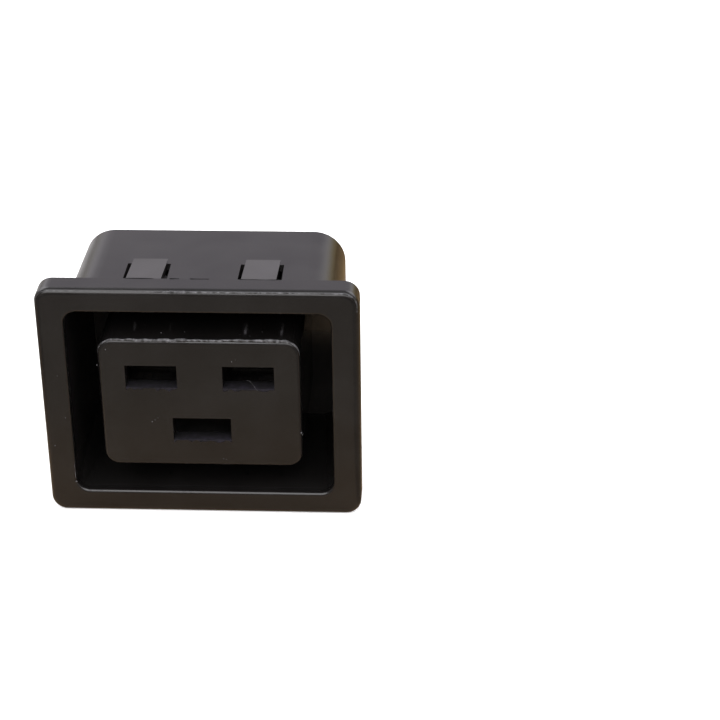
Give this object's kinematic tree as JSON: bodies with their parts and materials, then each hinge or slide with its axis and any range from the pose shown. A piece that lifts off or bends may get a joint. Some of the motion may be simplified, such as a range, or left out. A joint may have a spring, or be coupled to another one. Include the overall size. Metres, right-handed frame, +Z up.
{
  "type": "appliance outlet",
  "caption": "Snap-in panel power outlet with a rectangular flange, a deep recess round a slotted socket nose, snap tongues, and quick-connect tabs at the rear",
  "frame": {"origin": "centre of the panel cut-out, in the plane of the panel's front face, which is the back of the flange", "axes": "+X along the long side of the flange, +Y through the panel from the mating face to the terminals, +Z up with the earth slot at the bottom"},
  "size_m": [0.0428, 0.0371, 0.0342],
  "materials": {
    "housing_plastic": "moulded, semi-gloss black",
    "plated_brass": "tin-plated sheet"
  },
  "bodies": {
    "root": {"housing": "housing_plastic", "line_contact": "plated_brass", "neutral_contact": "plated_brass", "earth_contact": "plated_brass"}
  },
  "joints": []
}
